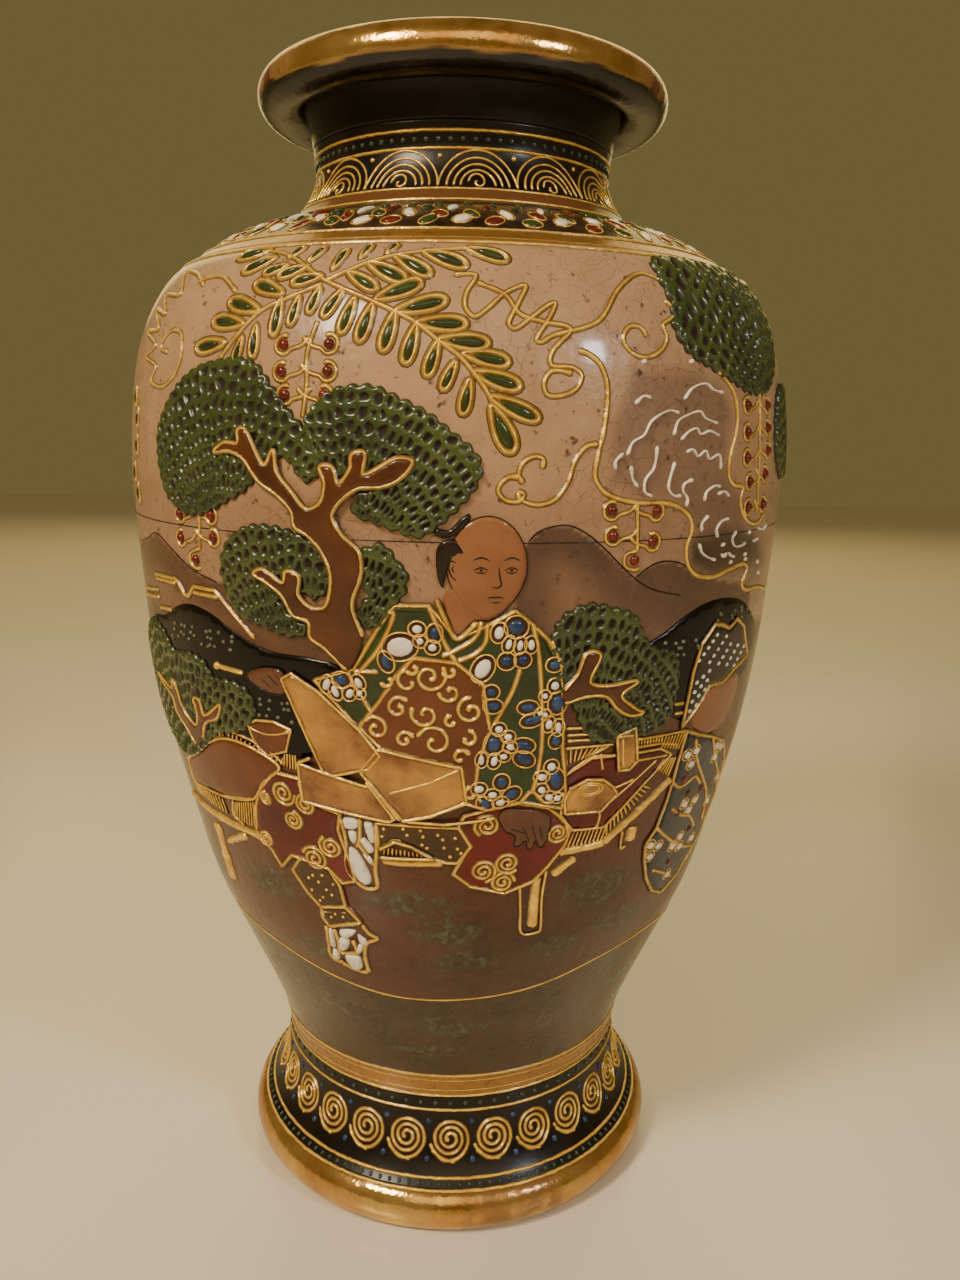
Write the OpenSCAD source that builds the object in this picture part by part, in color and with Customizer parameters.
// Baluster vase of luted earthenware sections with raised gilded slip and enamel decoration.
// The origin is the centre of the standing face. +Z is up and the painted scene faces -Y.
// Angles round the wall are degrees from -Y, positive to the right as the scene is seen.

/* [Foot] */
// Outer radius of the roll that the vase stands on
foot_r = 61; // [52:0.5:74]
// Radius of the roll's own section
foot_roll_r = 6.8; // [5.5:0.1:8]
// Depth of the flat face ground under the roll
standing_cut = 0.4; // [0.2:0.1:0.8]
// Height of the foot, up to where the body springs
foot_h = 35.4; // [30:0.2:44]
// Radius at the waist above the foot
waist_r = 50; // [42:0.5:60]
// Thickness of the floor disc
floor_t = 6; // [4:0.5:9]

/* [Body] */
// Height from the waist to the joint line round the belly
lower_h = 154.3; // [120:0.1:190]
// Height from the joint line to the root of the neck
upper_h = 72.3; // [58:0.1:90]
// Largest radius of the body
belly_r = 88; // [76:0.5:106]
// Thickness of the body wall
wall = 5; // [4:0.25:7]

/* [Neck and mouth] */
// Radius at the root of the neck, where the shoulder ends
root_r = 48; // [44:0.5:56]
// Radius at the throat, the narrowest place
throat_r = 38.5; // [32:0.5:42]
// Height of the neck
neck_h = 20; // [16:0.5:26]
// Outer radius of the rolled lip
mouth_r = 53.4; // [48:0.1:66]
// Radius of the lip's own section
lip_roll_r = 5.8; // [4.5:0.1:7]
// Height of the mouth above the neck
mouth_h = 18; // [16:0.5:24]

/* [Joints] */
// Height of the tongue by which one section stands in the next
tongue_h = 3; // [2:0.25:4]
// Slip that fills each joint and beds each applied piece
bed = 0.05; // [0.02:0.01:0.1]

/* [Decoration] */
// Half width of a slip line
line_r = 0.5; // [0.3:0.05:0.8]
// Height of the enamel foliage above the wall
foliage_h = 1.2; // [0.8:0.1:2]
// Height of the lower relief: trunks, rocks and robes
relief_h = 0.8; // [0.4:0.1:1.4]
// Number of arches round the neck
arch_count = 14; // [10:1:18]
// Number of spirals round the foot
spiral_count = 27; // [20:1:32]

/* [Hidden] */
$fn = 48;

// Depth of the flat seat cut on the foot roll for the pedestal
seat_cut = 1;
// Free space left between neighbouring pieces of slip
gap = 0.2;
// Height of slip lines and of the small strokes
line_h = 0.6;
// Radius of the enamel dots, and of the finer ones low on the foot
dot_r = 0.6;
lower_dot_r = 0.5;
// Radius of a gold dot that ends a slip line
gold_dot_r = 1.4 * line_r;
// Number of dots in the rings round the neck, the top of the foot and its flank
neck_dot_count = 84;
upper_dot_count = 78;
lower_dot_count = 130;
// Rings in each neck arch, their outer radius, and the angle of the first arch
arch_rings = 3;
arch_r = 180 / arch_count * PI / 180 * throat_r - 0.2;
arch_turn = 5;
// Beads of one colour in a row of the garland, and the turn from one row to the next
garland_count = 18;
garland_turn = 2;
// Depth of the garland's top row below the neck's root, and the drop from row to row
garland_top = 2.1;
garland_drop = 2.2;
// Radii of the white, red and green beads
white_r = 1.1;
red_r = 0.9;
green_r = 1;
// Radius of a foot spiral, its height above the roll, its inner ring's share of the radius,
// and the height of the blue dots from its centre
spiral_r = 5.2;
spiral_rise = 10.8;
spiral_share = 0.55;
blue_step = 5.6;
// Length and width of an enamel leaf, its tilt, and how far it stands off its stem round and up
leaf_l = 8;
leaf_w = 2.2;
leaf_tilt = 35;
leaf_side = 3.4;
leaf_rise = 1.6;
// Radius of a berry, its angle from the stem, and the drop from one pair to the next
berry_r = 1.5;
berry_side = 2.8;
berry_drop = 5;
// Width of a trunk
trunk_w = 3;
// Length, width and tilt of a cloud stroke, and the drop from one pair to the next
stroke_l = 4.5;
stroke_w = 0.9;
stroke_tilt = 25;
stroke_drop = 5;
// Angle from a cloud's middle to its strokes, and the turn from one pair to the next
stroke_side = 3;
stroke_turn = 1;
// Shares of a clump's radius: its middle lobe, the ring of smaller lobes, each of them, and its reach
clump_middle = 0.72;
clump_ring = 0.62;
clump_lobe = 0.4;
clump_reach = 1.1;
// Shares of an enamel dot's radius: its flat top, and how far it stands out
dot_top = 0.6;
dot_proud = 0.8;
// Head of a figure: height of its centre, back radius and front radius, as shares of the figure's size
head_rise = 1.1;
head_back = 0.27;
head_front = 0.2;
// Bench legs: angle from the figure, height below it, and length, as shares of its size, and width
bench_side = 9;
bench_fall = 1.2;
bench_l = 0.4;
bench_w = 2;
// Height step that the slope of the outline is measured over, and least gap between its heights
probe = 0.05;
knot_gap = 0.4;
// Colours of the gilding, the black glaze and the cream glaze
gold = "goldenrod";
black = "#15130f";
cream = "#b9a48c";

// Heights of the joints between the sections
seam_z = foot_h + lower_h;
root_z = seam_z + upper_h;
collar_z = root_z + neck_h;
top_z = collar_z + mouth_h;
flank_z = 2 * foot_roll_r - standing_cut - seat_cut;
flank_r = foot_r - 3;
lip_z = top_z - lip_roll_r;
lip_c = mouth_r - lip_roll_r;
flare_z = lip_z - 0.74 * lip_roll_r;
flare_r = lip_c + 0.67 * lip_roll_r;

// Heights of the slip lines: round the neck, the shoulder and the foot
neck_line_z = [root_z + 1.6, root_z + 4.4, root_z + 13.9, root_z + 17.7];
shoulder_line_z = [root_z - 12.2, root_z - 8.8];
foot_line_z = [flank_z + 0.1, flank_z + 2.6, foot_h - 4.2, foot_h + 0.2, foot_h + 6.8];

// Heights of the garland's three rows of beads, and of the spirals' centres
garland_z = [for (k = [0:2]) root_z - garland_top - garland_drop * k];
spiral_z = flank_z + spiral_rise;

// The back of the vase mirrors the front: each place comes again at 180 degrees less its angle
function mirrored(p) = [for (i = [0:len(p) - 1]) i == 0 ? 180 - p[0] : p[i]];
function both(places) = concat(places, [for (p = places) mirrored(p)]);
function both_paths(paths) = concat(paths, [for (path = paths) [for (p = path) mirrored(p)]]);

// Places on the body as [degrees round, height above the standing face]: stems of the leaf sprays,
// trunks, tops of the berry pendants and clouds
sprays = both_paths([
    [[-34, 249], [-27, 246], [-19, 242], [-12, 235], [-5, 228], [1, 222], [7, 216]],
    [[-19, 242], [-24, 237], [-30, 232], [-37, 226]]
]);
trunks = both_paths([[[-16, 158], [-16.5, 170], [-16, 182], [-16.7, 197]]]);
pendants = both([[-21, 224], [-43, 187], [25, 191], [48, 209]]);
clouds = both([[35, 216], [42, 202]]);

// Clumps as [degrees round, height, radius]: pine crowns and rocks
crowns = both([[-34, 210, 16], [-9, 206, 14], [-26, 180, 11], [-10, 182, 7], [-48, 153, 14], [24, 161, 14],
    [46, 234, 14], [72, 212, 10]]);
rock_clumps = both([[-72, 150, 12], [46, 164, 9]]);

// Figures as [degrees round, height of the middle, size]
figures = both([[-2, 140, 24], [46, 128, 20]]);

// The outline of each section: [share of its height, share of its change of radius]
foot_shape = [[0, 1], [0.11, 0.69], [0.31, 0.33], [0.55, 0.11], [0.81, 0.01]];
lower_shape = [[0, 0], [0.045, 0.03], [0.114, 0.126], [0.224, 0.318], [0.354, 0.54], [0.496, 0.697],
    [0.645, 0.84], [0.788, 0.926], [0.924, 0.971], [1, 0.99]];
upper_shape = [[0.115, 1], [0.364, 0.978], [0.603, 0.9], [0.787, 0.725], [0.882, 0.5], [0.957, 0.25]];
neck_shape = [[0, 1], [0.1, 0.64], [0.4, 0.19], [0.7, 0], [1, 0.095]];
flare_shape = [[0.42, 0.33], [0.78, 0.75], [1, 1]];
collar_r = throat_r + neck_shape[4][1] * (root_r - throat_r);

// Outside of the wall as [height, radius], from the roll to the lip
knots = concat(
    [for (p = foot_shape) [flank_z + p[0] * (foot_h - flank_z), waist_r + p[1] * (flank_r - waist_r)]],
    [for (p = lower_shape) [foot_h + p[0] * lower_h, waist_r + p[1] * (belly_r - waist_r)]],
    [for (p = upper_shape) [seam_z + p[0] * upper_h, root_r + p[1] * (belly_r - root_r)]],
    [for (p = neck_shape) [root_z + p[0] * neck_h, throat_r + p[1] * (root_r - throat_r)]],
    [for (p = flare_shape) [collar_z + p[0] * (flare_z - collar_z), collar_r + p[1] * (flare_r - collar_r)]]
);
last = len(knots) - 1;

// Slope of the outline at a knot, and the smooth radius at any height
function slope(i) = let (a = max(i - 1, 0), b = min(i + 1, last))
    (knots[b][1] - knots[a][1]) / (knots[b][0] - knots[a][0]);
function span(z, i = 0) = (i >= last - 1 || z < knots[i + 1][0]) ? i : span(z, i + 1);
function wall_r(z) = let (i = span(z), d = knots[i + 1][0] - knots[i][0], t = (z - knots[i][0]) / d)
    knots[i][1] * (1 + 2 * t) * pow(1 - t, 2) + knots[i + 1][1] * t * t * (3 - 2 * t)
    + d * (slope(i) * t * pow(1 - t, 2) - slope(i + 1) * t * t * (1 - t));
function lean(z) = (wall_r(z + probe) - wall_r(z - probe)) / (2 * probe);

// A point of the wall in the outline's plane, moved out of the wall by a distance
function wall_p(z, out = 0) = let (s = lean(z), n = sqrt(1 + s * s))
    [wall_r(z) + out / n, z - out * s / n];

// Heights of the knots between two heights, with steps between them
function steps(z0, z1, n = 4) = concat([z0], [for (i = [0:last - 1], k = [0:n - 1])
    let (z = knots[i][0] + k / n * (knots[i + 1][0] - knots[i][0]))
    if (z > z0 + knot_gap && z < z1 - knot_gap) z], [z1]);
function reversed(v) = [for (i = [len(v) - 1:-1:0]) v[i]];

// One section of wall. Its tongue stands inside the section below, and its own top has the recess
// that takes the tongue of the section above.
module section(z0, z1, tongue = true, recess = true) {
    half = wall / 2;
    low = tongue ? z0 - tongue_h + bed : z0;
    high = recess ? z1 - tongue_h : z1;
    rotate_extrude($fn = 96)
        polygon(concat(
            [for (z = steps(z0, z1)) wall_p(z)],
            recess ? [wall_p(z1, -half), wall_p(high, -half)] : [],
            [for (z = reversed(steps(low, high))) wall_p(z, -wall)],
            tongue ? [wall_p(low, -half - bed), wall_p(z0, -half - bed)] : []
        ));
}

// A band of the space just outside the wall, for relief of a given height
module skin(z0, z1, h) {
    rotate_extrude($fn = 96)
        polygon(concat(
            [for (z = steps(z0, z1, 2)) wall_p(z, bed)],
            [for (z = reversed(steps(z0, z1, 2))) wall_p(z, bed + h)]
        ));
}

// Flat outline, in millimetres right and up, carried through the wall at an angle and a height
module through(a, z) {
    rotate([0, 0, a])
        translate([0, -throat_r / 2, z])
            rotate([90, 0, 0])
                linear_extrude(belly_r + 10)
                    children();
}

// Half-round slip line round the vase at a height
module slip_line(z, r = line_r) {
    p = wall_p(z, bed);
    tilt = atan(lean(z));
    rotate_extrude($fn = 96)
        translate(p)
            rotate(-tilt)
                polygon([for (t = [-90:22.5:90]) r * [cos(t), sin(t)]]);
}

// Ring of enamel dots standing on the wall
module dot_ring(z, count, r, start = 0) {
    for (i = [0:count - 1])
        on_wall(start + i * 360 / count, z)
            dot(r);
}

// Places a flat-backed piece on the wall, its back on the wall's tangent plane
module on_wall(a, z, turn = 0) {
    p = wall_p(z, bed);
    rotate([0, 0, a])
        translate([0, -p[0], p[1]])
            rotate([90 - atan(lean(z)), 0, 0])
                rotate([0, 0, turn])
                    children();
}

module dot(r) {
    cylinder(r1 = r, r2 = dot_top * r, h = dot_proud * r, $fn = 16);
}

// Long enamel leaf
module leaf(length, width, h) {
    linear_extrude(h)
        slot(length, width);
}

module slot(length, width) {
    square([length - width, width], center = true);
    for (side = [-1, 1])
        translate([side * (length - width) / 2, 0])
            circle(d = width, $fn = 24);
}

// Outline of a clump: one round lobe in the middle and a ring of smaller ones
module clump(r, lobes = 6) {
    circle(clump_middle * r, $fn = 32);
    for (i = [0:lobes - 1])
        rotate(i * 360 / lobes)
            translate([clump_ring * r, 0])
                circle(clump_lobe * r, $fn = 24);
}

// Thick line of slip along points given as [degrees round, height]
module trail(points, width, h) {
    for (i = [0:len(points) - 2]) {
        a = (points[i][0] + points[i + 1][0]) / 2;
        z = (points[i][1] + points[i + 1][1]) / 2;
        across = (points[i + 1][0] - points[i][0]) * PI / 180 * wall_r(z);
        up = points[i + 1][1] - points[i][1];
        on_wall(a, z, atan2(up, across))
            leaf(norm([across, up]) - gap, width, h);
    }
}

// Round roll with a flat face to stand on and a flat seat on top for the pedestal
module foot_roll() {
    color(gold)
        difference() {
            rotate_extrude($fn = 96)
                translate([foot_r - foot_roll_r, foot_roll_r - standing_cut])
                    circle(foot_roll_r, $fn = 64);
            translate([0, 0, -foot_roll_r])
                cylinder(r = foot_r + 1, h = foot_roll_r);
            translate([0, 0, flank_z])
                cylinder(r = foot_r + 1, h = foot_roll_r);
        }
}

// The flank, cut level where it is luted on the roll
module foot_pedestal() {
    color(black)
        difference() {
            section(flank_z + bed, foot_h, tongue = false);
            cylinder(r = foot_r, h = flank_z + bed);
        }
}

// The floor's flange lies in the pedestal's recess, and the body stands on it
module floor_disc() {
    flange_z = foot_h - tongue_h + bed;
    color(cream) {
        translate([0, 0, flange_z])
            cylinder(r = wall_r(foot_h) - wall / 2 - bed, h = tongue_h - 2 * bed);
        translate([0, 0, flange_z])
            cylinder(r = waist_r - wall - 2 * bed, h = floor_t);
    }
}

module lower_body() {
    color(cream)
        section(foot_h, seam_z, tongue = false);
}

module upper_body() {
    color(cream)
        section(seam_z + bed, root_z);
}

module neck() {
    color(black)
        section(root_z + bed, collar_z);
}

// Trumpet below the lip, hollowed on top to seat the roll
module mouth_flare() {
    color(black)
        difference() {
            section(collar_z + bed, flare_z, recess = false);
            rotate_extrude($fn = 96)
                translate([lip_c, lip_z])
                    circle(lip_roll_r + bed, $fn = 64);
        }
}

module mouth_roll() {
    color(gold)
        rotate_extrude($fn = 96)
            translate([lip_c, lip_z])
                circle(lip_roll_r, $fn = 64);
}

module neck_lines() {
    color(gold)
        for (z = neck_line_z)
            slip_line(z);
}

module neck_dots() {
    color("darkslategray")
        dot_ring((neck_line_z[2] + neck_line_z[3]) / 2, neck_dot_count, dot_r);
}

// Concentric arches standing on the second line, laid against the wall
module neck_arches() {
    foot = neck_line_z[1] + line_r + gap;
    color(gold)
        intersection() {
            skin(foot, foot + arch_r + gap, line_h);
            for (i = [0:arch_count - 1])
                through(arch_turn + i * 360 / arch_count, foot)
                    for (k = [1:arch_rings])
                        half_ring(arch_r * k / arch_rings, 2 * line_r);
        }
}

module half_ring(r, width) {
    difference() {
        circle(r);
        circle(r - width);
        translate([-r - 1, -2 * r])
            square([2 * r + 2, 2 * r]);
    }
}

module neck_arch_dots() {
    color(gold)
        dot_ring(neck_line_z[2] - 3 * line_r, arch_count, gold_dot_r, arch_turn + 180 / arch_count);
}

module shoulder_lines() {
    color(gold)
        for (z = shoulder_line_z)
            slip_line(z);
}

// Beads of one colour in the garland, in rows between the neck and the shoulder lines
module garland(count, r, start) {
    for (k = [0:2])
        dot_ring(garland_z[k], count, r, start + garland_turn * k);
}

module garland_white() {
    color("white")
        garland(garland_count, white_r, 0);
}

module garland_red() {
    color("firebrick")
        garland(garland_count, red_r, 120 / garland_count);
}

module garland_green() {
    color("darkgreen")
        garland(garland_count, green_r, 240 / garland_count);
}

module foot_lines() {
    color(gold)
        for (z = foot_line_z)
            slip_line(z);
}

// Spirals round the pedestal, each as rings about a dot, laid against the wall
module foot_spirals() {
    color(gold)
        intersection() {
            skin(spiral_z - spiral_r - gap, spiral_z + spiral_r + gap, line_h);
            for (i = [0:spiral_count - 1])
                through(i * 360 / spiral_count, spiral_z) {
                    flat_ring(spiral_r);
                    flat_ring(spiral_r * spiral_share);
                    circle(gold_dot_r, $fn = 24);
                }
        }
}

module flat_ring(r) {
    difference() {
        circle(r);
        circle(r - 2 * line_r);
    }
}

module foot_blue_dots() {
    color("steelblue")
        for (side = [-1, 1])
            dot_ring(spiral_z + side * blue_step, spiral_count, dot_r, 180 / spiral_count);
}

module foot_upper_dots() {
    color("darkslategray")
        dot_ring((foot_line_z[2] + foot_line_z[3]) / 2, upper_dot_count, dot_r);
}

module foot_lower_dots() {
    color("darkslategray")
        dot_ring((foot_line_z[0] + foot_line_z[1]) / 2, lower_dot_count, lower_dot_r);
}

module spray_stems() {
    color(gold)
        for (s = sprays)
            trail(s, 2 * line_r, line_h);
}

// A pair of leaves at every point of each spray, set off to both sides of its stem
module leaf_beads() {
    color("forestgreen")
        for (s = sprays, i = [1:len(s) - 1], side = [-1, 1])
            on_wall(s[i][0] + side * leaf_side, s[i][1] + side * leaf_rise, side * leaf_tilt)
                leaf(leaf_l, leaf_w, foliage_h);
}

module berry_beads() {
    color("firebrick")
        for (p = pendants, k = [0:2], side = [-1, 1])
            on_wall(p[0] + side * berry_side, p[1] - k * berry_drop)
                dot(berry_r);
}

module pine_crowns() {
    color("darkgreen")
        wrapped(crowns, foliage_h)
            clump(1);
}

module rocks() {
    color("dimgray")
        wrapped(rock_clumps, relief_h)
            clump(1, 5);
}

// Clumps given as [degrees round, height, radius], laid against the wall
module wrapped(places, h) {
    for (p = places)
        intersection() {
            skin(p[1] - p[2] * clump_reach, p[1] + p[2] * clump_reach, h);
            through(p[0], p[1])
                scale(p[2])
                    children();
        }
}

module pine_trunks() {
    color("saddlebrown")
        for (t = trunks)
            trail(t, trunk_w, relief_h);
}

module cloud_strokes() {
    color("whitesmoke")
        for (c = clouds, k = [0:2], side = [-1, 1])
            on_wall(c[0] + side * stroke_side + k * stroke_turn, c[1] - stroke_drop * k, side * stroke_tilt)
                leaf(stroke_l, stroke_w, line_h);
}

// Robe of each figure as a raised bell
module seated_figures() {
    color("darkolivegreen")
        for (f = figures)
            intersection() {
                skin(f[1] - f[2], f[1] + f[2], relief_h);
                through(f[0], f[1])
                    scale(f[2])
                        robe_outline();
            }
}

module robe_outline() {
    polygon([[-0.75, -0.95], [0.8, -0.95], [0.72, -0.1], [0.3, 0.75], [-0.25, 0.75], [-0.7, -0.1]]);
}

module figure_heads() {
    color("tan")
        for (f = figures)
            on_wall(f[0], f[1] + head_rise * f[2])
                cylinder(r1 = head_back * f[2], r2 = head_front * f[2], h = relief_h);
}

module benches() {
    color(gold)
        for (f = figures, side = [-1, 1])
            on_wall(f[0] + side * bench_side, f[1] - bench_fall * f[2], 90)
                leaf(bench_l * f[2], bench_w, line_h);
}

foot_roll();
foot_pedestal();
floor_disc();
lower_body();
upper_body();
neck();
mouth_flare();
mouth_roll();
neck_lines();
neck_dots();
neck_arches();
neck_arch_dots();
shoulder_lines();
garland_white();
garland_red();
garland_green();
foot_lines();
foot_spirals();
foot_blue_dots();
foot_upper_dots();
foot_lower_dots();
spray_stems();
leaf_beads();
berry_beads();
pine_crowns();
pine_trunks();
rocks();
cloud_strokes();
seated_figures();
figure_heads();
benches();
